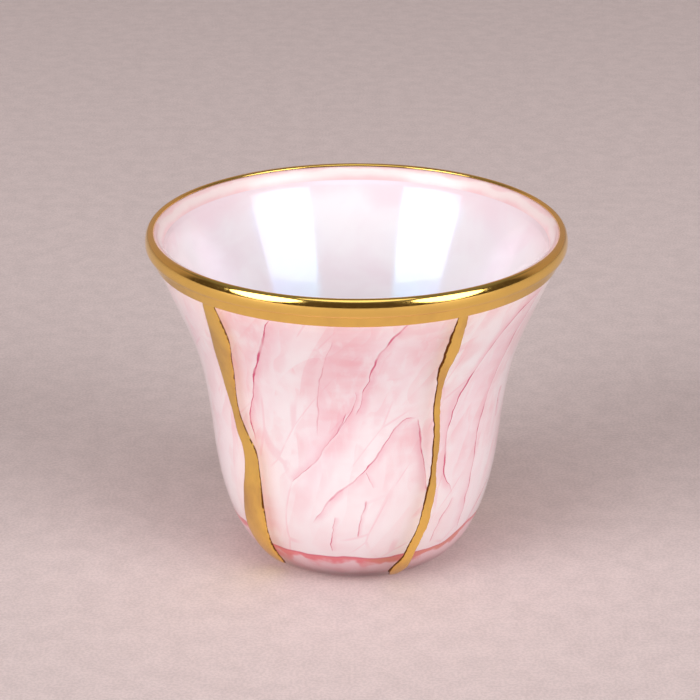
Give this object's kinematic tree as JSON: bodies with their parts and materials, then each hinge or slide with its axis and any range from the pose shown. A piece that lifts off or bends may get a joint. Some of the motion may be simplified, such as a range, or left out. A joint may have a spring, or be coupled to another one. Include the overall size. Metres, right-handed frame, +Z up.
{
  "type": "coffee cup",
  "caption": "Handleless bell-shaped Arabic coffee cup of clear glass, marbled pink inside under a pearl lining, with a gold lip band and raised gold veins.",
  "frame": {"origin": "centre of the foot, on the surface that the cup stands on", "axes": "+Z up the cup's axis, +X to the right and -Y to the front of the pictured side"},
  "size_m": [0.066, 0.066, 0.0542],
  "materials": {
    "glass": "clear polished glass",
    "enamel": "pink and white marbled enamel",
    "pearl": "white pearl lustre",
    "gold": "bright fired gold"
  },
  "bodies": {
    "root": {"glass_body": "glass", "marble_enamel": "enamel", "pearl_lining": "pearl", "rim_band": "gold", "gold_vein_front_left": "gold", "gold_vein_front_right": "gold", "gold_vein_back_right": "gold", "gold_vein_back_left": "gold"}
  },
  "joints": []
}
